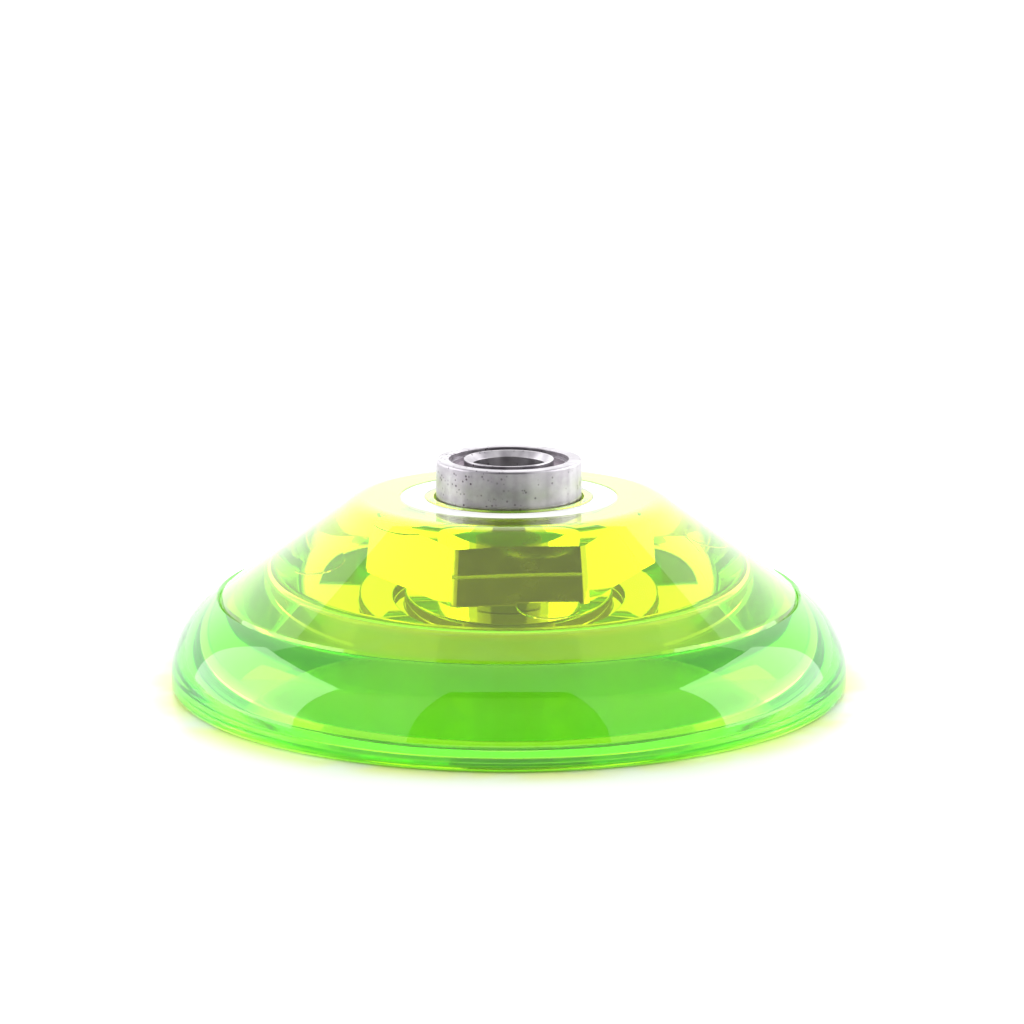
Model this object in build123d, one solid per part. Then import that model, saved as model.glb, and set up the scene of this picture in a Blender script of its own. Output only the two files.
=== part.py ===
from build123d import *

import os
from math import atan, cos, radians, sin, sqrt, tan

# One half of a take-apart, ball-bearing yo-yo, in millimetres.
# It rests on its rim: z = 0 is the rim's face, and +Z runs up the axle to the bearing.

# ---- Rim ring ----
rim_radius = 29.65
rim_width = 4.35            # from the groove line out to the widest ring
widest_z = 1.9              # the bulge ends here in a narrow upright band
rim_bulge = 0.8             # how far the bulge stands out of its chord
rim_edge_rounding = 0.6
rim_mouth_rounding = 0.5
ledge_z = 1.0               # ledge that carries the body's skirt
joint_gap = 0.05            # radial air gap between the body and the ring
joint_chamfer = 0.22        # on both edges, which makes the fine groove line

# ---- Body: plateau, catch cone, cup ----
plateau_z = 16.53           # flat around the bearing
plateau_width = 3.9         # from the response groove to the plateau's edge
plateau_rounding = 2.8
plateau_rounding_share = 0.8  # most of the plateau's width that its rounding may take
cone_foot_z = 7.92
cup_wall_width = 5.45       # from the widest ring in to the cup's mouth
cup_wall_run = 4.9          # how far the cup wall leans in from mouth to floor
cup_floor_z = 8.05          # ceiling of the cup on the face side
cup_floor_rounding = 1.2
ejector_mark_radius = 2.5
ejector_mark_depth = 0.12
ejector_mark_inset = 4.7    # from the cup floor's edge to each mark's centre
ejector_mark_count = 4
ejector_mark_turn = 12.0    # degrees

# ---- Hub insert: hexagonal flange, neck and bearing post ----
hex_across_flats = 16.5
hex_turn = 5.5              # degrees, first corner from +X
hex_height = 3.35
hex_corner_chamfer = 0.25
hex_clearance = 0.05
neck_radius = 4.4
neck_clearance = 0.05
boss_margin = 0.07          # the boss stays this much inside the inner race's rim
post_length = 2.2
post_chamfer = 0.25
thread_bore_radius = 1.65   # tapping size of an M4 thread
thread_mouth_chamfer = 0.4

# ---- Bearing: 1/4 x 1/2 x 3/16 inch, shielded ----
bearing_bore_radius = 3.175
bearing_outer_radius = 6.35
bearing_width = 4.762
ball_radius = 0.79375
ball_count = 8
raceway_play = 0.046        # radial play of a ball in the raceway grooves
inner_land_depth = 0.51     # lands and steps, counted from the pitch circle
inner_end_depth = 0.84
inner_land_half = 1.2
outer_land_depth = 0.24
shield_seat_depth = 0.46
shield_play = 0.02          # radial play of a shield on its step
shield_gap = 0.12           # between a shield and the inner race
shield_cage_gap = 0.2
shield_thickness = 0.2
snap_ring_thickness = 0.3
snap_ring_radial_width = 0.4
snap_ring_opening = 16.0    # degrees
snap_ring_turn = -133.0     # degrees, middle of its opening from +X
snap_groove_depth = 0.22
snap_ring_play = 0.03       # play of a snap ring in its groove, radial and axial
race_chamfer = 0.16
bore_chamfer = 0.5
bore_chamfer_share = 0.68   # most of the race's wall that the chamfer may take
cage_land_gap = 0.09        # radial gap between the cage and either land
cage_floor = 0.3            # thickness of the cage's ring below its pockets
cage_prong = 0.45           # height of its prongs above the balls' middle
cage_pocket_play = 0.056
post_play = 0.01            # radial play of the bearing on its post

# ---- Bearing seat and response groove in the body ----
seat_depth = 1.83
bearing_seat_clearance = 0.2
boss_height = 0.39          # lifts the bearing clear of the seat
lip_width = 0.75            # between the seat and the response groove
response_width = 2.2
response_depth = 1.0
response_recess = 0.04      # pad top below the plateau
response_side_gap = 0.03
response_rounding = 0.15

# ---- Derived ----
cone_foot_radius = rim_radius - rim_width
cup_mouth_radius = rim_radius - cup_wall_width
cup_floor_radius = cup_mouth_radius - cup_wall_run
seat_radius = bearing_outer_radius + bearing_seat_clearance
response_inner_radius = seat_radius + lip_width
response_outer_radius = response_inner_radius + response_width
plateau_radius = response_outer_radius + plateau_width
seat_bottom_z = plateau_z - seat_depth
response_bottom_z = plateau_z - response_depth
flange_top_z = cup_floor_z + hex_height
bearing_bottom_z = seat_bottom_z + boss_height
bearing_half = bearing_width / 2
bearing_mid_z = bearing_bottom_z + bearing_half
post_radius = bearing_bore_radius - post_play
post_top_z = bearing_bottom_z + post_length
pitch_radius = (bearing_bore_radius + bearing_outer_radius) / 2
raceway_radius = ball_radius + raceway_play
inner_land_radius = pitch_radius - inner_land_depth
inner_end_radius = pitch_radius - inner_end_depth
outer_land_radius = pitch_radius + outer_land_depth
shield_seat_radius = pitch_radius + shield_seat_depth
shield_inner_radius = inner_end_radius + shield_gap
snap_groove_radius = shield_seat_radius + snap_groove_depth
cage_pocket_radius = ball_radius + cage_pocket_play
cage_bottom = cage_pocket_radius + cage_floor
shield_seat_half = cage_bottom + shield_cage_gap
snap_ring_half = shield_seat_half + shield_thickness
boss_radius = inner_end_radius - boss_margin


def cup_wall_radius(z):
    """Radius of the straight cup wall at height z."""
    return cup_mouth_radius - cup_wall_run * z / cup_floor_z


def cone_slope():
    """Rise of the catch cone towards the axis for each millimetre of radius."""
    return (plateau_z - cone_foot_z) / (cone_foot_radius - plateau_radius)


def turned(outline):
    """Solid turned about Z from a closed outline of (radius, z) curves."""
    return revolve(make_face(Plane.XZ * outline), Axis.Z, 360)


def turned_polygon(points):
    return turned(Polyline(*points, close=True))


def turned_ring(inner, outer, bottom, top):
    return turned_polygon([(inner, bottom), (outer, bottom), (outer, top), (inner, top)])


def rounded_edges(shape, radius, z, size):
    """Rounds the turned edge of a shape that lies at that radius and height."""
    near = 0.01
    edges = [
        edge
        for edge in shape.edges().filter_by(GeomType.CIRCLE)
        if abs(edge.arc_center.Z - z) < near and abs(edge.radius - radius) < near
    ]
    return fillet(edges, size)


def hexagonal_flange(clearance):
    """Hexagonal prism with chamfered upright edges, grown by a clearance all round."""
    corner = (hex_across_flats + 2 * clearance) / sqrt(3)
    face = RegularPolygon(radius=corner, side_count=6, rotation=hex_turn)
    height = hex_height + clearance
    prism = extrude(Plane.XY.offset(cup_floor_z) * face, amount=height)
    return chamfer(prism.edges().filter_by(Axis.Z), hex_corner_chamfer)


def body_shell():
    """Solid clear body: bearing seat, response groove, catch cone, hexagonal pocket and cup."""
    neck_hole = neck_radius + neck_clearance
    body = turned_polygon([
        (neck_hole, cup_floor_z),
        (neck_hole, seat_bottom_z),
        (seat_radius, seat_bottom_z),
        (seat_radius, plateau_z),
        (response_inner_radius, plateau_z),
        (response_inner_radius, response_bottom_z),
        (response_outer_radius, response_bottom_z),
        (response_outer_radius, plateau_z),
        (plateau_radius, plateau_z),
        (cone_foot_radius - joint_chamfer, cone_foot_z + joint_chamfer * cone_slope()),
        (cone_foot_radius, cone_foot_z - joint_chamfer),
        (cone_foot_radius, ledge_z),
        (cup_wall_radius(ledge_z), ledge_z),
        (cup_floor_radius, cup_floor_z),
    ])
    turn_half = atan(cone_slope()) / 2
    rounding = min(plateau_rounding, plateau_rounding_share * plateau_width / tan(turn_half))
    body = rounded_edges(body, plateau_radius, plateau_z, rounding)
    body = rounded_edges(body, cup_floor_radius, cup_floor_z, cup_floor_rounding)
    body -= hexagonal_flange(hex_clearance)
    pitch = cup_floor_radius - ejector_mark_inset
    for index in range(ejector_mark_count):
        angle = radians(ejector_mark_turn + index * 360 / ejector_mark_count)
        centre = (pitch * cos(angle), pitch * sin(angle), cup_floor_z)
        body -= Pos(*centre) * Cylinder(ejector_mark_radius, 2 * ejector_mark_depth)
    return body


def rim_ring():
    """Clear outer ring: bulge, upright band, foot, and the ledge that carries the body."""
    bore = cone_foot_radius + joint_gap
    top = (bore + joint_chamfer, cone_foot_z)
    widest = (rim_radius, widest_z)
    chord = (widest[0] - top[0], widest[1] - top[1])
    length = sqrt(chord[0] ** 2 + chord[1] ** 2)
    crest = (
        (top[0] + widest[0]) / 2 - chord[1] / length * rim_bulge,
        (top[1] + widest[1]) / 2 + chord[0] / length * rim_bulge,
    )
    straight = Polyline(
        widest,
        (rim_radius, 0),
        (cup_mouth_radius, 0),
        (cup_wall_radius(ledge_z), ledge_z),
        (bore, ledge_z),
        (bore, cone_foot_z - joint_chamfer),
        top,
    )
    ring = turned(straight + ThreePointArc(top, crest, widest))
    ring = rounded_edges(ring, rim_radius, 0, rim_edge_rounding)
    return rounded_edges(ring, cup_mouth_radius, 0, rim_mouth_rounding)


def hub_insert():
    """Metal insert: hexagonal flange, neck, boss and post with a tapped hole."""
    stem = turned_polygon([
        (0, cup_floor_z),
        (neck_radius, cup_floor_z),
        (neck_radius, seat_bottom_z),
        (boss_radius, seat_bottom_z),
        (boss_radius, bearing_bottom_z),
        (post_radius, bearing_bottom_z),
        (post_radius, post_top_z - post_chamfer),
        (post_radius - post_chamfer, post_top_z),
        (0, post_top_z),
    ])
    bore = turned_polygon([
        (0, cup_floor_z),
        (thread_bore_radius, cup_floor_z),
        (thread_bore_radius, post_top_z - thread_mouth_chamfer),
        (thread_bore_radius + thread_mouth_chamfer, post_top_z),
        (0, post_top_z),
    ])
    return hexagonal_flange(0) + stem - bore


def response_pad():
    """Soft ring that sits in the groove beside the bearing and grips the string."""
    inner = response_inner_radius + response_side_gap
    outer = response_outer_radius - response_side_gap
    ring = turned_ring(inner, outer, response_bottom_z, plateau_z - response_recess)
    return fillet(ring.edges().filter_by(GeomType.CIRCLE), response_rounding)


def groove_half(land_radius):
    """Half height of the raceway groove where it opens into a land."""
    return sqrt(raceway_radius ** 2 - (pitch_radius - land_radius) ** 2)


def turned_race(upper, groove_bottom):
    """Race from the upper half of its outline, listed from the raceway groove's edge round."""
    lower = [(radius, -z) for radius, z in reversed(upper)]
    groove = ThreePointArc(lower[-1], (groove_bottom, 0), upper[0])
    return Pos(0, 0, bearing_mid_z) * turned(Polyline(*upper, *lower) + groove)


def bearing_outer_race():
    groove_low = snap_ring_half - snap_ring_play
    groove_high = snap_ring_half + snap_ring_thickness + snap_ring_play
    upper = [
        (outer_land_radius, groove_half(outer_land_radius)),
        (outer_land_radius, shield_seat_half),
        (shield_seat_radius, shield_seat_half),
        (shield_seat_radius, groove_low),
        (snap_groove_radius, groove_low),
        (snap_groove_radius, groove_high),
        (shield_seat_radius, groove_high),
        (shield_seat_radius, bearing_half - race_chamfer / 2),
        (shield_seat_radius + race_chamfer / 2, bearing_half),
        (bearing_outer_radius - race_chamfer, bearing_half),
        (bearing_outer_radius, bearing_half - race_chamfer),
    ]
    return turned_race(upper, pitch_radius + raceway_radius)


def bearing_inner_race():
    wall = inner_end_radius - bearing_bore_radius
    bevel = min(bore_chamfer, bore_chamfer_share * wall)
    upper = [
        (inner_land_radius, groove_half(inner_land_radius)),
        (inner_land_radius, inner_land_half),
        (inner_end_radius, inner_land_half),
        (inner_end_radius, bearing_half - race_chamfer / 2),
        (inner_end_radius - race_chamfer / 2, bearing_half),
        (bearing_bore_radius + bevel, bearing_half),
        (bearing_bore_radius, bearing_half - bevel),
    ]
    return turned_race(upper, pitch_radius - raceway_radius)


def ball_centre(index):
    angle = radians(index * 360 / ball_count)
    return (pitch_radius * cos(angle), pitch_radius * sin(angle), bearing_mid_z)


def ball(index):
    return Pos(*ball_centre(index)) * Sphere(ball_radius)


def bearing_cage():
    """Crown cage: a ring with a snap-in pocket for each ball."""
    cage = turned_ring(
        inner_land_radius + cage_land_gap,
        outer_land_radius - cage_land_gap,
        bearing_mid_z - cage_bottom,
        bearing_mid_z + cage_prong,
    )
    for index in range(ball_count):
        cage -= Pos(*ball_centre(index)) * Sphere(cage_pocket_radius)
    return cage


def washer(inner, outer, inward_face, thickness, side):
    """Flat ring whose inward face is that far above (side 1) or below (side -1) the bearing's middle."""
    near = bearing_mid_z + side * inward_face
    far = near + side * thickness
    return turned_ring(inner, outer, min(near, far), max(near, far))


def shield(side):
    """Thin steel washer that covers the balls."""
    outer = shield_seat_radius - shield_play
    return washer(shield_inner_radius, outer, shield_seat_half, shield_thickness, side)


def snap_ring(side):
    """Open spring ring that holds a shield down from the outer race's groove."""
    outer = snap_groove_radius - snap_ring_play
    ring = washer(outer - snap_ring_radial_width, outer, snap_ring_half, snap_ring_thickness, side)
    reach = 2 * outer
    half_width = reach * tan(radians(snap_ring_opening / 2))
    opening = make_face(Polyline((0, 0), (reach, half_width), (reach, -half_width), close=True))
    middle = bearing_mid_z + side * snap_ring_half
    wedge = extrude(Plane.XY.offset(middle) * opening, amount=2 * snap_ring_thickness, both=True)
    return ring - Rot(0, 0, snap_ring_turn) * wedge


def all_pieces():
    pieces = {
        "body_shell": body_shell(),
        "rim_ring": rim_ring(),
        "hub_insert": hub_insert(),
        "response_pad": response_pad(),
        "bearing_outer_race": bearing_outer_race(),
        "bearing_inner_race": bearing_inner_race(),
        "bearing_cage": bearing_cage(),
        "upper_shield": shield(1),
        "lower_shield": shield(-1),
        "upper_snap_ring": snap_ring(1),
        "lower_snap_ring": snap_ring(-1),
    }
    for index in range(ball_count):
        pieces[f"ball_{index + 1}"] = ball(index)
    return pieces


os.makedirs("parts", exist_ok=True)
for name, piece in all_pieces().items():
    export_step(piece, f"parts/{name}.step")
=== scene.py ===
"""One half of a clear lime spinning toy: a turned plastic body and rim, a hexagonal metal hub,
a soft string pad and a shielded ball bearing. Outlines are in millimetres, and meshes in metres."""

import math

import bmesh
import bpy
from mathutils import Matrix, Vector
from mathutils.geometry import delaunay_2d_cdt


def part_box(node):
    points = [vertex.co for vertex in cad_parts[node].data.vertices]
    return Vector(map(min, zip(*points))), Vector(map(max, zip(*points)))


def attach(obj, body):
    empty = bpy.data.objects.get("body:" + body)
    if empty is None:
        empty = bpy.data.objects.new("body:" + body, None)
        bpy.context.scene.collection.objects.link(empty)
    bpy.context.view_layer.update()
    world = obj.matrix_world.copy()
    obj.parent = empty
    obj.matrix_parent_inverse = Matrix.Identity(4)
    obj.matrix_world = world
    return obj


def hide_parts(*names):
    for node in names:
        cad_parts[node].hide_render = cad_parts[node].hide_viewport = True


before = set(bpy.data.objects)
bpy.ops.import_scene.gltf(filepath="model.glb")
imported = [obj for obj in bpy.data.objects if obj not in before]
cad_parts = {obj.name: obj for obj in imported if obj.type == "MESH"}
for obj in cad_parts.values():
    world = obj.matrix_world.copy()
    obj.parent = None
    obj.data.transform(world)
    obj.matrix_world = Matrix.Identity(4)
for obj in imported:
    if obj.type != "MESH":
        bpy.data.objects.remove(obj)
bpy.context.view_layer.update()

MM = 0.001
HALF, OUTER_BODY = "half", "bearing_outer"
TURN_STEPS = 252                     # a multiple of six, so that the hexagon's corners fall on steps
ROUND_STEPS, BULGE_STEPS, GROOVE_STEPS, MARK_STEPS, THREAD_STEPS = 6, 28, 16, 60, 40
HOLD = 0.02                          # a ring this near a rounding's ends keeps the flat beside it flat
SMOOTH_ANGLE = 28                    # degrees; sharper edges stay crisp
MERGE = 1e-8                         # metres
WHITE = (1.0, 1.0, 1.0, 1.0)


def extent(node):
    """Largest radius, lowest and highest point of a CAD node, in millimetres."""
    low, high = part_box(node)
    return max(high.x, high.y) / MM, low.z / MM, high.z / MM


# ---- Sizes read from the frame ----
rim_radius, _, cone_foot_z = extent("rim_ring")
cone_foot_radius, ledge_z, plateau_z = extent("body_shell")
pad_outer_radius, pad_bottom_z, pad_top_z = extent("response_pad")
race_outer_radius, race_bottom_z, race_top_z = extent("bearing_outer_race")
_, shield_bottom_z, _ = extent("upper_shield")
snap_outer_radius, snap_bottom_z, snap_top_z = extent("upper_snap_ring")
ball_outer_reach, ball_bottom_z, ball_top_z = extent("ball_1")
_, cup_ceiling_z, post_top_z = extent("hub_insert")

# ---- Sizes of the clear body and rim ----
rim_bulge = 0.8
widest_z = 1.9
rim_edge_rounding = 0.6
joint_gap = 0.05
ledge_gap = 0.04
joint_chamfer = 0.22
cup_mouth_rounding = 0.5
cup_wall_width = 5.45
cup_wall_run = 4.9                   # how far the cup's wall leans in
cup_mouth_radius = rim_radius - cup_wall_width
cup_ceiling_radius = cup_mouth_radius - cup_wall_run
cup_ceiling_rounding = 1.2
seat_clearance = 0.2
seat_radius = race_outer_radius + seat_clearance
seat_depth = 1.83
seat_bottom_z = plateau_z - seat_depth
lip_width = 0.75                     # between the seat and the pad's groove
pad_side_gap = 0.03
bond = 0.02                          # the glued pad meets the plastic, with no air between
pad_inner_radius = seat_radius + lip_width + pad_side_gap
plateau_width = 3.9
plateau_radius = pad_outer_radius + pad_side_gap + plateau_width
plateau_rounding = 2.8
mark_radius, mark_depth, mark_draft = 2.5, 0.12, 0.04
mark_count, mark_turn = 4, math.radians(12)
mark_inset = 4.7
mark_pitch = cup_ceiling_radius - mark_inset

# ---- Sizes of the hub ----
hexagon_turn = math.radians(5.5)
hexagon_inscribed = 8.25
hexagon_corner_flat = 9.40           # the corners' small flats, from the axle
hexagon_bevel = 0.22
hexagon_height = 3.35
flange_top_z = cup_ceiling_z + hexagon_height
neck_radius = 4.4
fit_gap = 0.05                       # air between the hub and the plastic
post_radius = 3.165
boss_radius = 3.85
thread_bore = 1.65
thread_pitch = 0.7
thread_depth = 0.3
thread_foot_gap, thread_head_gap = 0.4, 0.5
bore_mouth = 0.4                     # chamfer at the bore's mouth

# ---- Sizes of the bearing ----
bearing_mid_z = (race_bottom_z + race_top_z) / 2
bearing_half = (race_top_z - race_bottom_z) / 2
bearing_bore = 3.175
ball_radius = (ball_top_z - ball_bottom_z) / 2
pitch_radius = ball_outer_reach - ball_radius
raceway_play = 0.046
raceway_radius = ball_radius + raceway_play
inner_land_depth, inner_end_depth = 0.51, 0.84       # from the pitch circle
outer_land_depth, shield_seat_depth = 0.24, 0.46
inner_land_radius = pitch_radius - inner_land_depth
inner_end_radius = pitch_radius - inner_end_depth
outer_land_radius = pitch_radius + outer_land_depth
shield_seat_radius = pitch_radius + shield_seat_depth
snap_play = 0.03
snap_groove_radius = snap_outer_radius + snap_play
inner_land_half = 1.2
bore_chamfer = 0.5
shield_seat_half = shield_bottom_z - bearing_mid_z


def cup_wall_radius(z):
    return cup_mouth_radius - cup_wall_run * z / cup_ceiling_z


# ---- Outlines ----

def rounded(corners):
    """Closed outline of (radius, height) points. A corner's third number rounds it."""
    points = []
    for index, (r, z, *rounding) in enumerate(corners):
        here = Vector((r, z))
        if not rounding:
            points.append(tuple(here))
            continue
        back = (Vector(corners[index - 1][:2]) - here).normalized()
        ahead = (Vector(corners[(index + 1) % len(corners)][:2]) - here).normalized()
        half = back.angle(ahead) / 2
        centre = here + (back + ahead).normalized() * rounding[0] / math.sin(half)
        reach = rounding[0] / math.tan(half)
        start, end = here + back * reach - centre, here + ahead * reach - centre
        sweep = start.angle(end)
        points.append(tuple(here + back * (reach + HOLD)))
        for step in range(ROUND_STEPS + 1):
            part = sweep * step / ROUND_STEPS
            spoke = (start * math.sin(sweep - part) + end * math.sin(part)) / math.sin(sweep)
            points.append(tuple(centre + spoke))
        points.append(tuple(here + ahead * (reach + HOLD)))
    return points


def bulged(start, end, bulge, steps):
    """Points strictly between start and end on an arc that stands out of the chord to its left."""
    start, end = Vector(start), Vector(end)
    chord = end - start
    left = Vector((-chord.y, chord.x)).normalized()
    radius = (chord.length ** 2 / 4 + bulge ** 2) / (2 * bulge)
    centre = (start + end) / 2 + left * (bulge - radius)
    first, last = start - centre, end - centre
    sweep = first.angle(last)
    points = []
    for step in range(1, steps):
        part = sweep * step / steps
        spoke = (first * math.sin(sweep - part) + last * math.sin(part)) / math.sin(sweep)
        points.append(tuple(centre + spoke))
    return points


# ---- Mesh making ----

def smoothed(mesh):
    """Shades a mesh smooth, with its sharper edges kept crisp."""
    mesh.polygons.foreach_set("use_smooth", [True] * len(mesh.polygons))
    mesh.set_sharp_from_angle(angle=math.radians(SMOOTH_ANGLE))


def finished_piece(name, mesh_points, faces, material):
    """A closed mesh piece with outward faces."""
    mesh = bpy.data.meshes.new(name)
    mesh.from_pydata([tuple(c * MM for c in point) for point in mesh_points], [], faces)
    shape = bmesh.new()
    shape.from_mesh(mesh)
    bmesh.ops.remove_doubles(shape, verts=shape.verts, dist=MERGE)
    bmesh.ops.recalc_face_normals(shape, faces=shape.faces)
    shape.to_mesh(mesh)
    shape.free()
    smoothed(mesh)
    mesh.materials.append(material)
    piece = bpy.data.objects.new(name, mesh)
    bpy.context.scene.collection.objects.link(piece)
    return piece


def turned_piece(name, outline, material):
    """Turns an outline about the axle. A point may be a function of the angle instead of (r, z)."""
    points, faces = [], []
    count = len(outline)
    for step in range(TURN_STEPS):
        angle = hexagon_turn + 2 * math.pi * step / TURN_STEPS
        for place in outline:
            r, z = place(angle) if callable(place) else place
            points.append((r * math.cos(angle), r * math.sin(angle), z))
        here, ahead = step * count, (step + 1) % TURN_STEPS * count
        for index in range(count):
            other = (index + 1) % count
            faces.append((here + index, ahead + index, ahead + other, here + other))
    return finished_piece(name, points, faces, material)


def joins(piece, body, slot, *nodes):
    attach(piece, body)
    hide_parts(*nodes)


# ---- Shader maths ----

class Value:
    """A socket that arithmetic can be written on. Each operation adds a Math node."""

    def __init__(self, finish, socket):
        self.finish, self.socket = finish, socket

    def maths(self, operation, *others):
        inputs = dict(enumerate((self, *others)))
        return self.finish.node("ShaderNodeMath", {"operation": operation}, inputs)

    def __add__(self, other):
        return self.maths("ADD", other)

    def __sub__(self, other):
        return self.maths("SUBTRACT", other)

    def __mul__(self, other):
        return self.maths("MULTIPLY", other)

    def __rsub__(self, other):
        return (self * -1).maths("ADD", other)

    def __pow__(self, other):
        return self.maths("POWER", other)

    __radd__, __rmul__ = __add__, __mul__

    def step(self, low, high):
        """0 below low, 1 above high, and smooth between; or the other way round if low > high."""
        settings = {"interpolation_type": "SMOOTHSTEP"}
        flip = low > high
        inputs = {"Value": self, "From Min": min(low, high), "From Max": max(low, high)}
        inputs.update({"To Min": 1.0, "To Max": 0.0} if flip else {})
        return self.finish.node("ShaderNodeMapRange", settings, inputs)


class Finish:
    """A material and its node tree."""

    def __init__(self, name):
        self.material = bpy.data.materials.new(name)
        self.material.use_nodes = True
        self.tree = self.material.node_tree
        self.tree.nodes.clear()
        self.place = self.node("ShaderNodeTexCoord", output="Object")

    def node(self, kind, settings=(), inputs=(), output=0):
        made = self.tree.nodes.new(kind)
        for key, value in dict(settings).items():
            setattr(made, key, value)
        for key, value in dict(inputs).items():
            if isinstance(value, Value):
                self.tree.links.new(value.socket, made.inputs[key])
            else:
                made.inputs[key].default_value = value
        return Value(self, made.outputs[output]) if len(made.outputs) else made

    def noise(self, scale, detail=2.0, roughness=0.5, place=None):
        inputs = {"Vector": place or self.place, "Scale": scale, "Detail": detail, "Roughness": roughness}
        return self.node("ShaderNodeTexNoise", {}, inputs)

    def stretched(self, scales, turn=(0.0, 0.0, 0.0), shift=(0.0, 0.0, 0.0)):
        inputs = {"Vector": self.place, "Scale": scales, "Rotation": turn, "Location": shift}
        return self.node("ShaderNodeMapping", {"vector_type": "POINT"}, inputs)

    def axis(self, name):
        return self.node("ShaderNodeSeparateXYZ", {}, {0: self.place}, output=name)

    def radius(self):
        """Distance from the axle."""
        x, y = self.axis("X"), self.axis("Y")
        return (x * x + y * y) ** 0.5

    def mix(self, share, first, second):
        """Colour that goes from first to second as share goes from 0 to 1."""
        first, second = (side if isinstance(side, Value) else (*side, 1.0) for side in (first, second))
        return self.node("ShaderNodeMix", {"data_type": "RGBA"}, {0: share, 6: first, 7: second}, 2)

    def bump(self, height, strength, distance):
        inputs = {"Height": height, "Strength": strength, "Distance": distance}
        return self.node("ShaderNodeBump", {}, inputs)

    def principled(self, inputs):
        return self.node("ShaderNodeBsdfPrincipled", {}, inputs)

    def output(self, surface, volume=None):
        inputs = {"Surface": surface}
        if volume:
            inputs["Volume"] = volume
        self.node("ShaderNodeOutputMaterial", {}, inputs)
        return self.material


def hairlines(finish, scale):
    """Fine scratches: the thin valleys of a stretched noise, in three directions."""
    lines = 0.0
    for turn in (0.35, 1.4, 2.5):
        place = finish.stretched((1.0, 14.0, 14.0), (0.0, 0.2, turn), (turn, 0.0, 0.0))
        ridge = (finish.noise(scale, 1.0, 0.5, place) - 0.5).maths("ABSOLUTE")
        lines = ridge.step(0.004, 0.0) + lines
    return lines


def clear_plastic(name, absorbed, painted_glow, painted_glow_strength, painted_green_from=None, painted_green_to=None):
    """Polished fluorescent plastic: light is absorbed along its way, and a faint painted glow (constant
    emission over all its surfaces) stands in for the fluorescence.
    Where heights are given, a greener painted tint, from one height down to another, stands in for the
    green light seen through the cup's wall."""
    finish = Finish(name)
    density = 1.02 * max(absorbed)
    kept = tuple(1 - share / density for share in absorbed)
    scratches = hairlines(finish, 60.0)
    haze = finish.noise(90.0, 3.0)
    waves = finish.noise(140.0, 2.0)
    tint = finish.mix(haze, (1.0, 1.0, 1.0), (0.97, 1.0, 0.95))
    # Painted green light: the colour turns greener just under the cup's ceiling.
    if painted_green_from:
        tint = finish.mix(finish.axis("Z").step(painted_green_from * MM, painted_green_to * MM), tint, (0.28, 0.84, 0.36))
    # The emission is a painted glow, the same over the whole surface, standing in for the plastic's
    # fluorescence.
    surface = finish.principled({
        "Base Color": tint,
        "Roughness": scratches * 0.10,
        "Normal": finish.bump(waves, 0.02, 0.0002),
        "IOR": 1.58,
        "Transmission Weight": 1.0,
        "Emission Color": finish.mix(haze, painted_glow, tuple(0.8 * part for part in painted_glow)),
        "Emission Strength": painted_glow_strength,
    })
    volume = finish.node("ShaderNodeVolumeAbsorption", {}, {"Color": (*kept, 1.0), "Density": density})
    return finish.output(surface, volume)


def hub_aluminium():
    finish = Finish("hub_aluminium")
    rings = finish.noise(1.0, 2.0, 0.6, finish.stretched((40.0, 40.0, 5000.0)))
    stains = finish.noise(500.0, 3.0)
    surface = finish.principled({
        "Base Color": finish.mix(stains.step(0.35, 0.7), (0.30, 0.31, 0.28), (0.40, 0.40, 0.37)),
        "Metallic": 1.0,
        "Roughness": stains * 0.2 + 0.15,
        "Normal": finish.bump(rings, 0.1, 0.00002),
    })
    return finish.output(surface)


def silicone():
    finish = Finish("white_silicone")
    grain = finish.noise(2500.0, 3.0)
    clouds = finish.noise(300.0, 2.0)
    surface = finish.principled({
        "Base Color": finish.mix(clouds, (0.93, 0.95, 0.91), (0.97, 0.98, 0.96)),
        "Roughness": grain * 0.2 + 0.4,
        "Normal": finish.bump(grain, 0.15, 0.00005),
    })
    return finish.output(surface)


def steel(name, dark, light, grain, pits):
    """Ground steel: fine turning lines, cloudy stains and, where pits > 0, small dark pits."""
    finish = Finish(name)
    lines = finish.noise(1.0, 2.0, 0.6, finish.stretched((60.0, 60.0, 9000.0)))
    clouds = finish.noise(700.0, 3.0, 0.6)
    spots = finish.node("ShaderNodeTexVoronoi", {}, {"Vector": finish.place, "Scale": 2600.0})
    patchy = finish.noise(450.0, 1.0).step(0.44, 0.56) * finish.axis("X").step(0.0015, -0.003)
    scattered = finish.noise(900.0, 1.0).step(0.56, 0.64) * 0.6
    pitted = spots.step(0.34, 0.18) * patchy.maths("MAXIMUM", scattered) * pits
    bands = finish.noise(1.0, 2.0, 0.6, finish.stretched((420.0, 420.0, 12.0))).step(0.42, 0.68)
    bright = finish.mix(clouds.step(0.3, 0.75) * 0.4 + bands * 0.6, dark, light)
    surface = finish.principled({
        "Base Color": finish.mix(pitted, bright, (0.10, 0.08, 0.10)),
        "Metallic": 1.0,
        "Roughness": clouds * 0.25 + grain,
        "Normal": finish.bump(lines * 0.5 - pitted, 0.25, 0.00003),
    })
    return finish.output(surface)


# ---- Clear body and rim ----

def flange_outline(gap, bevel=0.0):
    """The hexagonal flange's top and bottom edges, grown by a gap, each as a function of the angle.
    A bevel adds a third edge, below and inside the bottom one."""
    def edge(height, inset=0.0):
        def place(angle):
            turned = (angle - hexagon_turn) % (math.pi / 3) - math.pi / 6
            side = (hexagon_inscribed + gap - inset) / math.cos(turned)
            corner = (hexagon_corner_flat + gap - inset) / math.cos(math.pi / 6 - abs(turned))
            return min(side, corner), height
        return place
    lowest = [edge(cup_ceiling_z, bevel)] if bevel else []
    return [edge(flange_top_z + gap), edge(cup_ceiling_z + bevel)] + lowest


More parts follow.
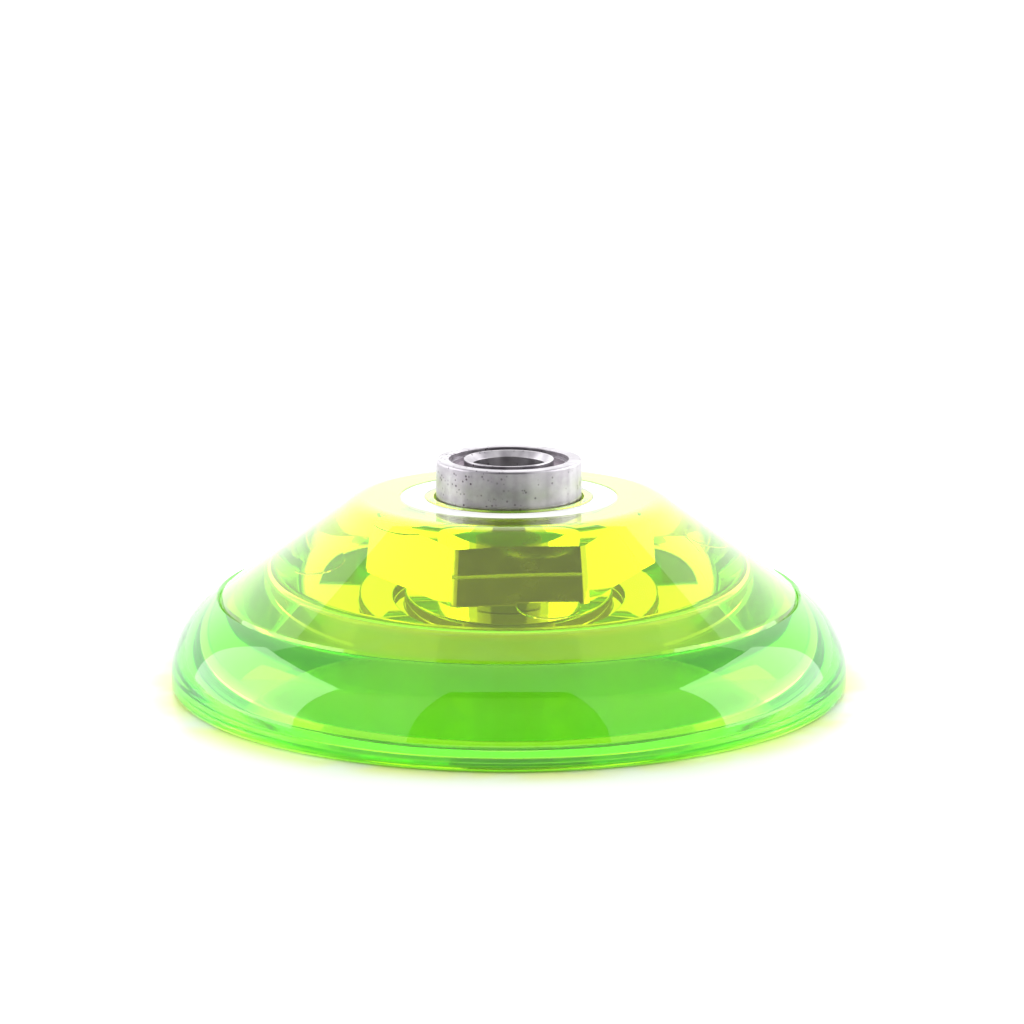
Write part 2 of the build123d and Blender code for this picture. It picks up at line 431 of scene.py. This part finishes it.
def press_ejector_marks(body):
    """Four shallow round marks in the cup's flat ceiling, which is rebuilt around them."""
    shape = bmesh.new()
    shape.from_mesh(body.data)
    ceiling = cup_ceiling_z * MM
    outer = (mark_pitch + mark_radius) * MM
    flat = [face for face in shape.faces
            if face.normal.z < -0.99 and abs(face.calc_center_median().z - ceiling) < 10 * MERGE
            and face.calc_center_median().xy.length < outer]
    members = set(flat)
    border = [edge for edge in shape.edges if sum(face in members for face in edge.link_faces) == 1]
    corners = sorted({corner for edge in border for corner in edge.verts}, key=lambda corner: corner.index)
    number = {corner: index for index, corner in enumerate(corners)}
    bounds = [tuple(number[corner] for corner in edge.verts) for edge in border]
    bmesh.ops.delete(shape, geom=flat, context="FACES_KEEP_BOUNDARY")
    centres = []
    for index in range(mark_count):
        turn = mark_turn + 2 * math.pi * index / mark_count
        centre = Vector((math.cos(turn), math.sin(turn))) * mark_pitch * MM
        centres.append(centre)
        rings = []
        mark_top_radius, mark_top_z = mark_radius - mark_draft, cup_ceiling_z + mark_depth
        for radius, height in ((mark_radius, cup_ceiling_z), (mark_top_radius, mark_top_z)):
            ring = []
            for step in range(MARK_STEPS):
                angle = 2 * math.pi * step / MARK_STEPS
                spoke = Vector((math.cos(angle), math.sin(angle))) * radius * MM
                ring.append(shape.verts.new((*(centre + spoke), height * MM)))
            rings.append(ring)
        mouth, top = rings
        first = len(corners)
        bounds += [(first + step, first + (step + 1) % MARK_STEPS) for step in range(MARK_STEPS)]
        corners += mouth
        for step in range(MARK_STEPS):
            ahead = (step + 1) % MARK_STEPS
            shape.faces.new((mouth[step], top[step], top[ahead], mouth[ahead]))
        shape.faces.new(top)
    spots = [corner.co.xy / MM for corner in corners]
    found, _, triangles, origins, _, _ = delaunay_2d_cdt(spots, bounds, [], 1, 1e-9)
    _, pocket_edge = flange_outline(fit_gap)
    inside = 0.999
    for triangle in triangles:
        middle = sum((found[index] for index in triangle), Vector((0.0, 0.0))) / 3 * MM
        in_mark = any((middle - centre).length < inside * mark_radius * MM for centre in centres)
        pocket_reach, _ = pocket_edge(math.atan2(middle.y, middle.x))
        if not in_mark and middle.length > inside * pocket_reach * MM:
            shape.faces.new([corners[origins[index][0]] for index in triangle])
    bmesh.ops.recalc_face_normals(shape, faces=shape.faces)
    shape.to_mesh(body.data)
    shape.free()
    smoothed(body.data)


def settle(piece):
    """Replaces a piece's mesh by its evaluated one, and removes its modifiers."""
    bpy.context.view_layer.update()
    seen = piece.evaluated_get(bpy.context.evaluated_depsgraph_get())
    mesh = bpy.data.meshes.new_from_object(seen)
    piece.modifiers.clear()
    piece.data = mesh
    smoothed(mesh)


def clear_body(plastic):
    slope = (plateau_z - cone_foot_z) / (cone_foot_radius - plateau_radius)
    neck_hole = neck_radius + fit_gap
    groove_inner = pad_inner_radius - pad_side_gap
    groove_outer = pad_outer_radius + pad_side_gap
    outline = rounded([
        (neck_hole, flange_top_z + fit_gap),
        (neck_hole, seat_bottom_z),
        (seat_radius, seat_bottom_z, 0.15),
        (seat_radius, plateau_z, 0.08),
        (groove_inner, plateau_z, 0.08),
        (groove_inner, pad_bottom_z - pad_side_gap, 0.08),
        (groove_outer, pad_bottom_z - pad_side_gap, 0.08),
        (groove_outer, plateau_z, 0.08),
        (plateau_radius, plateau_z, plateau_rounding),
        (cone_foot_radius - joint_chamfer, cone_foot_z + joint_chamfer * slope, 0.05),
        (cone_foot_radius, cone_foot_z - joint_chamfer, 0.05),
        (cone_foot_radius, ledge_z, 0.05),
        (cup_wall_radius(ledge_z), ledge_z, 0.05),
        (cup_ceiling_radius, cup_ceiling_z, cup_ceiling_rounding),
        (mark_pitch - mark_radius - 1.0, cup_ceiling_z),
    ])
    top_edge, bottom_edge = flange_outline(fit_gap)
    body = turned_piece("clear_body", outline + [bottom_edge, top_edge], plastic)
    press_ejector_marks(body)
    joins(body, HALF, "clear_lime", "body_shell")


def clear_rim(plastic):
    bore = cone_foot_radius + joint_gap
    top = (bore + joint_chamfer, cone_foot_z)
    widest = (rim_radius, widest_z)
    foot = rounded([
        widest,
        (rim_radius, 0.0, rim_edge_rounding),
        (cup_mouth_radius, 0.0, cup_mouth_rounding),
        (cup_wall_radius(ledge_z - ledge_gap), ledge_z - ledge_gap, 0.05),
        (bore, ledge_z - ledge_gap, 0.05),
        (bore, cone_foot_z - joint_chamfer, 0.05),
        top,
    ])
    rim = turned_piece("clear_rim", foot + bulged(top, widest, rim_bulge, BULGE_STEPS), plastic)
    joins(rim, HALF, "clear_lime_rim", "rim_ring")


# ---- Hub, pad and bearing ----

def hub(metal):
    edges = flange_outline(0.0, hexagon_bevel)
    stem = rounded([
        (neck_radius, flange_top_z),
        (neck_radius, seat_bottom_z, 0.1),
        (boss_radius, seat_bottom_z),
        (boss_radius, race_bottom_z),
        (post_radius, race_bottom_z),
        (post_radius, post_top_z, 0.25),
        (thread_bore + bore_mouth, post_top_z, 0.05),
        (thread_bore, post_top_z - bore_mouth, 0.05),
        (thread_bore, cup_ceiling_z, 0.05),
    ])
    piece = turned_piece("hub", stem + edges[::-1], metal)
    joins(piece, HALF, "hub_metal", "hub_insert")
    bore_thread(metal)


def bore_thread(metal):
    """The thread's helical ridge in the hub's bore, made by one Geometry Nodes tree."""
    tree = bpy.data.node_groups.new("bore_thread", "GeometryNodeTree")
    foot, head = cup_ceiling_z + thread_foot_gap, post_top_z - thread_head_gap
    sizes = {
        "Bore Radius": thread_bore * MM,
        "Pitch": thread_pitch * MM,
        "Ridge": thread_depth * MM,
        "Foot": foot * MM,
        "Height": (head - foot) * MM,
    }
    face = tree.interface.new_socket
    sockets = {name: face(name, in_out="INPUT", socket_type="NodeSocketFloat") for name in sizes}
    sockets["Metal"] = face("Metal", in_out="INPUT", socket_type="NodeSocketMaterial")
    face("Geometry", in_out="OUTPUT", socket_type="NodeSocketGeometry")

    def node(kind, settings=(), inputs=()):
        made = tree.nodes.new(kind)
        for key, value in dict(settings).items():
            setattr(made, key, value)
        for key, value in dict(inputs).items():
            if isinstance(value, bpy.types.NodeSocket):
                tree.links.new(value, made.inputs[key])
            else:
                made.inputs[key].default_value = value
        return made.outputs[0]

    given = tree.nodes.new("NodeGroupInput").outputs
    turns = node("ShaderNodeMath", {"operation": "DIVIDE"}, {0: given["Height"], 1: given["Pitch"]})
    helix = node("GeometryNodeCurveSpiral", {}, {
        "Resolution": THREAD_STEPS,
        "Rotations": turns,
        "Start Radius": given["Bore Radius"],
        "End Radius": given["Bore Radius"],
        "Height": given["Height"],
    })
    upright = node("GeometryNodeSetCurveNormal", {"mode": "Z_UP"}, {"Curve": helix})
    ridge = node("GeometryNodeCurvePrimitiveCircle", {"mode": "RADIUS"},
                 {"Resolution": 4, "Radius": given["Ridge"]})
    swept = node("GeometryNodeCurveToMesh", {},
                 {"Curve": upright, "Profile Curve": ridge, "Fill Caps": True})
    lift = node("ShaderNodeCombineXYZ", {}, {"Z": given["Foot"]})
    placed = node("GeometryNodeTransform", {}, {"Geometry": swept, "Translation": lift})
    real = node("GeometryNodeRealizeInstances", {}, {"Geometry": placed})
    coated = node("GeometryNodeSetMaterial", {}, {"Geometry": real, "Material": given["Metal"]})
    tree.links.new(coated, tree.nodes.new("NodeGroupOutput").inputs["Geometry"])

    piece = bpy.data.objects.new("bore_thread", bpy.data.meshes.new("bore_thread"))
    bpy.context.scene.collection.objects.link(piece)
    modifier = piece.modifiers.new("bore_thread", "NODES")
    modifier.node_group = tree
    for name, value in sizes.items():
        modifier[sockets[name].identifier] = value
    modifier[sockets["Metal"].identifier] = metal
    settle(piece)
    joins(piece, HALF, "hub_metal", "hub_insert")


def string_pad(rubber):
    inner, outer = pad_inner_radius - pad_side_gap - bond, pad_outer_radius + pad_side_gap + bond
    outline = rounded([
        (inner, pad_bottom_z, 0.08),
        (outer, pad_bottom_z, 0.08),
        (outer, pad_top_z, 0.12),
        (inner, pad_top_z, 0.12),
    ])
    joins(turned_piece("string_pad", outline, rubber), HALF, "silicone", "response_pad")


def race(name, upper, groove_bulge, material):
    """Race from the upper half of its outline, listed from the raceway groove's edge round."""
    lower = [(r, -z, *rest) for r, z, *rest in reversed(upper)]
    groove = bulged(lower[-1][:2], upper[0][:2], groove_bulge, GROOVE_STEPS)
    outline = [(r, z + bearing_mid_z) for r, z in rounded(upper + lower) + groove]
    return turned_piece(name, outline, material)


def groove_half(land_radius):
    return math.sqrt(raceway_radius ** 2 - (pitch_radius - land_radius) ** 2)


def bearing(steels):
    groove_low = snap_bottom_z - snap_play - bearing_mid_z
    groove_high = snap_top_z + snap_play - bearing_mid_z
    outer = race("outer_race", [
        (outer_land_radius, groove_half(outer_land_radius)),
        (outer_land_radius, shield_seat_half),
        (shield_seat_radius, shield_seat_half),
        (shield_seat_radius, groove_low),
        (snap_groove_radius, groove_low),
        (snap_groove_radius, groove_high),
        (shield_seat_radius, groove_high),
        (shield_seat_radius, bearing_half, 0.08),
        (race_outer_radius, bearing_half, 0.2),
    ], -(pitch_radius + raceway_radius - outer_land_radius), steels["race"])
    joins(outer, OUTER_BODY, "bearing_steel", "bearing_outer_race")
    inner = race("inner_race", [
        (inner_land_radius, groove_half(inner_land_radius)),
        (inner_land_radius, inner_land_half),
        (inner_end_radius, inner_land_half),
        (inner_end_radius, bearing_half, 0.08),
        (bearing_bore + bore_chamfer, bearing_half, 0.08),
        (bearing_bore, bearing_half - bore_chamfer, 0.08),
    ], inner_land_radius - pitch_radius + raceway_radius, steels["race"])
    joins(inner, HALF, "bearing_steel", "bearing_inner_race")


def stage():
    """Pale floor with a painted yellow glow round the rim's foot, bright panels behind and beside the
    object, and a dark card in front of it.
    """
    def sheet(name, corners, material):
        mesh = bpy.data.meshes.new(name)
        mesh.from_pydata(corners, [], [(0, 1, 2, 3)])
        mesh.materials.append(material)
        made = bpy.data.objects.new(name, mesh)
        bpy.context.scene.collection.objects.link(made)
        return made

    paper = Finish("white_paper")
    tone = paper.mix(paper.noise(30.0), (0.965, 0.965, 0.965), (0.975, 0.975, 0.975))
    # Painted light: a yellow caustic glow painted on the floor in a ring just outside the rim's foot,
    # broken up by noise.
    painted_glow_foot, painted_glow_end = 0.99 * rim_radius * MM, 1.13 * rim_radius * MM
    painted_glow = paper.radius().step(painted_glow_end, painted_glow_foot)
    painted_glow = painted_glow * paper.noise(120.0, 2.0).step(0.3, 0.6)
    tone = paper.mix(painted_glow, tone, (0.98, 0.96, 0.45))
    paper_look = paper.output(paper.principled({"Base Color": tone, "Roughness": 0.35}))
    wide, below = 2.0, -0.00002
    sheet("floor", [(-wide, -wide, below), (wide, -wide, below), (wide, wide, below), (-wide, wide, below)],
          paper_look)

    def lit(name, strength):
        lamp = Finish(name)
        return lamp.output(lamp.node("ShaderNodeEmission", {}, {"Color": WHITE, "Strength": strength}))

    half, back, front, top = 0.7, 0.4, -0.15, 0.6
    sheet("back_panel", [(-half, back, 0.0), (half, back, 0.0), (half, back, top), (-half, back, top)],
          lit("soft_back_light", 2.0))
    side_light = lit("soft_side_light", 4.0)
    for name, x in (("left_panel", -0.5), ("right_panel", 0.5)):
        sheet(name, [(x, front, 0.0), (x, back, 0.0), (x, back, 0.5), (x, front, 0.5)], side_light)

    felt = Finish("dark_card")
    felt_look = felt.output(felt.principled({"Base Color": (0.02, 0.02, 0.02, 1.0), "Roughness": 0.9}))
    half, y, low, high = 0.2, -0.32, 0.04, 0.7
    card = sheet("front_card", [(-half, y, low), (half, y, low), (half, y, high), (-half, y, high)],
                 felt_look)
    card.visible_camera = False

    world = bpy.data.worlds.new("white_room")
    world.use_nodes = True
    sky = next(node for node in world.node_tree.nodes if node.type == "BACKGROUND")
    sky.inputs["Color"].default_value = WHITE
    sky.inputs["Strength"].default_value = 1.0
    bpy.context.scene.world = world


def camera():
    tilt = 13.27                     # degrees below level
    data = bpy.data.cameras.new("camera")
    data.sensor_width, data.lens, data.clip_start = 36.0, 117.6, 0.01
    data.shift_x, data.shift_y = 0.0031, 0.0773
    eye = bpy.data.objects.new("camera", data)
    eye.location = (0.0, -0.286, 0.0754)
    eye.rotation_euler = (math.radians(90.0 - tilt), 0.0, 0.0)
    bpy.context.scene.collection.objects.link(eye)
    bpy.context.scene.camera = eye


def look():
    scene = bpy.context.scene
    scene.view_settings.view_transform = "Standard"
    cycles = scene.cycles
    cycles.max_bounces = cycles.transmission_bounces = cycles.transparent_max_bounces = 32
    cycles.glossy_bounces, cycles.diffuse_bounces = 16, 4
    cycles.caustics_refractive = cycles.caustics_reflective = True
    cycles.use_denoising = True


# Each plastic gets a painted glow colour and strength; the body also gets a painted greener band just under
# the cup's ceiling.
clear_body(clear_plastic("clear_lime", (20.0, 12.0, 250.0), (0.5, 0.6, 0.02), 0.07,
                         cup_ceiling_z + 0.45, cup_ceiling_z - 1.05))
clear_rim(clear_plastic("clear_lime_rim", (110.0, 22.0, 240.0), (0.05, 0.60, 0.06), 0.05))
hub(hub_aluminium())
string_pad(silicone())
STEELS = {
    "race": steel("bearing_steel", (0.30, 0.28, 0.31), (0.56, 0.54, 0.57), 0.22, 1.0),
    "shield": steel("shield_steel", (0.16, 0.12, 0.15), (0.25, 0.20, 0.24), 0.3, 0.0),
    "spring": steel("spring_steel", (0.45, 0.43, 0.46), (0.60, 0.58, 0.62), 0.2, 0.0),
    "cage": steel("cage_steel", (0.40, 0.38, 0.40), (0.55, 0.53, 0.55), 0.25, 0.0),
    "ball": steel("ball_steel", (0.65, 0.65, 0.67), (0.80, 0.80, 0.82), 0.02, 0.0),
}
bearing(STEELS)
for node, kind in (("upper_shield", "shield"), ("lower_shield", "shield"), ("upper_snap_ring", "spring"),
                   ("lower_snap_ring", "spring"), ("bearing_cage", "cage"),
                   *((f"ball_{index + 1}", "ball") for index in range(8))):
    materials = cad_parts[node].data.materials
    materials.clear()
    materials.append(STEELS[kind])
stage()
camera()
look()
